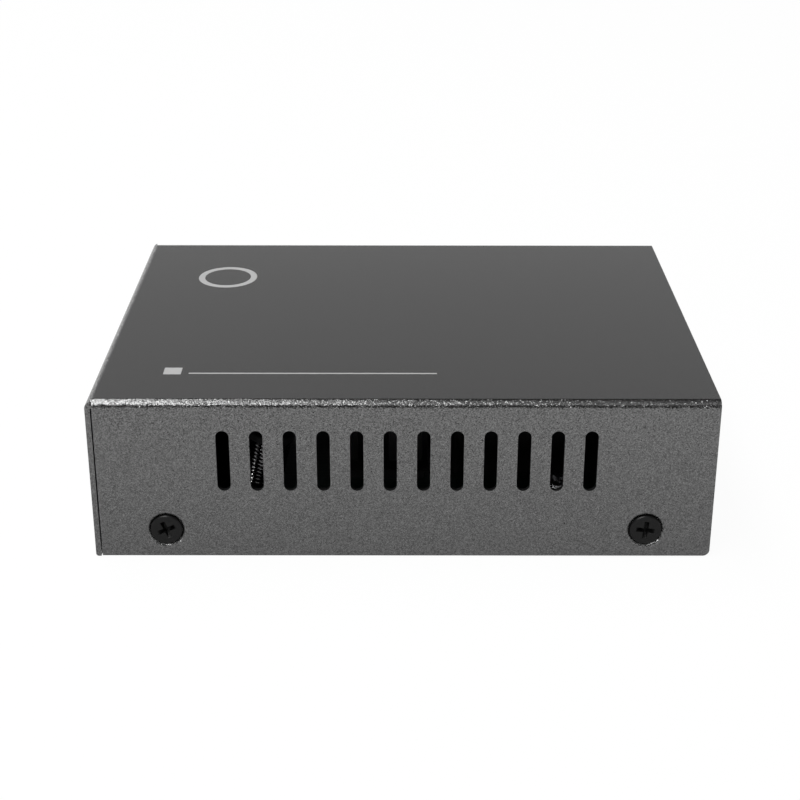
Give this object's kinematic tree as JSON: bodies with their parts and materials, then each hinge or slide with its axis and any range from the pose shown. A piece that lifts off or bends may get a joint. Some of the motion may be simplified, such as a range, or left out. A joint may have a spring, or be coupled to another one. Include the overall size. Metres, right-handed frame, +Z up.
{
  "type": "fibre media converter",
  "caption": "Folded steel box with vented sides that joins a duplex fibre port to a copper network port, with a barrel power socket and option switches at the rear.",
  "frame": {"origin": "middle of the underside", "axes": "+X from the rear wall to the front panel, +Y across the case, +Z up"},
  "size_m": [0.094, 0.0706, 0.0262],
  "materials": {
    "cover_powder_coat": "fine textured powder coat, dark grey",
    "tray_powder_coat": "fine textured powder coat, dark grey",
    "black_oxide_steel": "black, slightly shiny",
    "zinc_plated_steel": "bright plating",
    "board_laminate": "green solder mask",
    "black_glass_filled_nylon": "fine moulded matt",
    "zirconia_ceramic": "polished",
    "tinned_brass": "tinned",
    "nickel_plated_shield": "nickel plated",
    "gold_plated_contact": "gold flash",
    "nickel_plated_pin": "polished",
    "blue_moulded_plastic": "moulded matt",
    "white_moulded_plastic": "moulded matt",
    "ferrite": "sintered, matt",
    "enamelled_copper": "clear enamel",
    "yellow_polyester_tape": "taped",
    "capacitor_sleeve": "shrink sleeve",
    "black_epoxy_package": "moulded matt",
    "grey_silicone_pad": "soft matt",
    "black_anodised_aluminium": "black anodised",
    "nickel_silver_can": "drawn, bright",
    "green_lamp_epoxy": "diffused, unlit"
  },
  "bodies": {
    "converter": {"top_cover": "cover_powder_coat", "base_tray": "tray_powder_coat", "case_screws": "black_oxide_steel", "board_standoffs": "zinc_plated_steel", "board_screws": "zinc_plated_steel", "circuit_board": "board_laminate", "fibre_module_housing": "black_glass_filled_nylon", "fibre_sleeve_transmit": "zirconia_ceramic", "fibre_sleeve_receive": "zirconia_ceramic", "fibre_module_pins": "tinned_brass", "rj45_shield": "nickel_plated_shield", "rj45_insulator": "black_glass_filled_nylon", "rj45_contacts": "gold_plated_contact", "dc_jack_housing": "black_glass_filled_nylon", "dc_jack_pin": "nickel_plated_pin", "dc_jack_terminals": "tinned_brass", "dip_switch_body": "blue_moulded_plastic", "dip_switch_terminals": "tinned_brass", "inductor_core": "ferrite", "inductor_winding": "enamelled_copper", "inductor_leads": "tinned_brass", "transformer_core": "ferrite", "transformer_bobbin": "yellow_polyester_tape", "input_capacitor": "capacitor_sleeve", "output_capacitor": "capacitor_sleeve", "main_chip": "black_epoxy_package", "thermal_pad": "grey_silicone_pad", "heat_sink": "black_anodised_aluminium", "power_controller_chip": "black_epoxy_package", "rectifier": "black_epoxy_package", "network_magnetics": "black_epoxy_package", "crystal_can": "nickel_silver_can", "lamp_holder_1": "black_glass_filled_nylon", "lamp_holder_2": "black_glass_filled_nylon", "lamp_power": "green_lamp_epoxy", "lamp_power_over_ethernet": "green_lamp_epoxy", "lamp_fibre_link": "green_lamp_epoxy", "lamp_copper_link": "green_lamp_epoxy"},
    "slider_1": {"dip_slider_1": "white_moulded_plastic"},
    "slider_2": {"dip_slider_2": "white_moulded_plastic"},
    "slider_3": {"dip_slider_3": "white_moulded_plastic"},
    "slider_4": {"dip_slider_4": "white_moulded_plastic"}
  },
  "joints": [
    {"name": "dip_slider_1_travel", "type": "slide", "parent": "converter", "child": "slider_1", "axis": [0, 0, 1], "range_m": [0, 0.002]},
    {"name": "dip_slider_2_travel", "type": "slide", "parent": "converter", "child": "slider_2", "axis": [0, 0, 1], "range_m": [0, 0.002]},
    {"name": "dip_slider_3_travel", "type": "slide", "parent": "converter", "child": "slider_3", "axis": [0, 0, 1], "range_m": [0, 0.002]},
    {"name": "dip_slider_4_travel", "type": "slide", "parent": "converter", "child": "slider_4", "axis": [0, 0, 1], "range_m": [0, 0.002]}
  ]
}
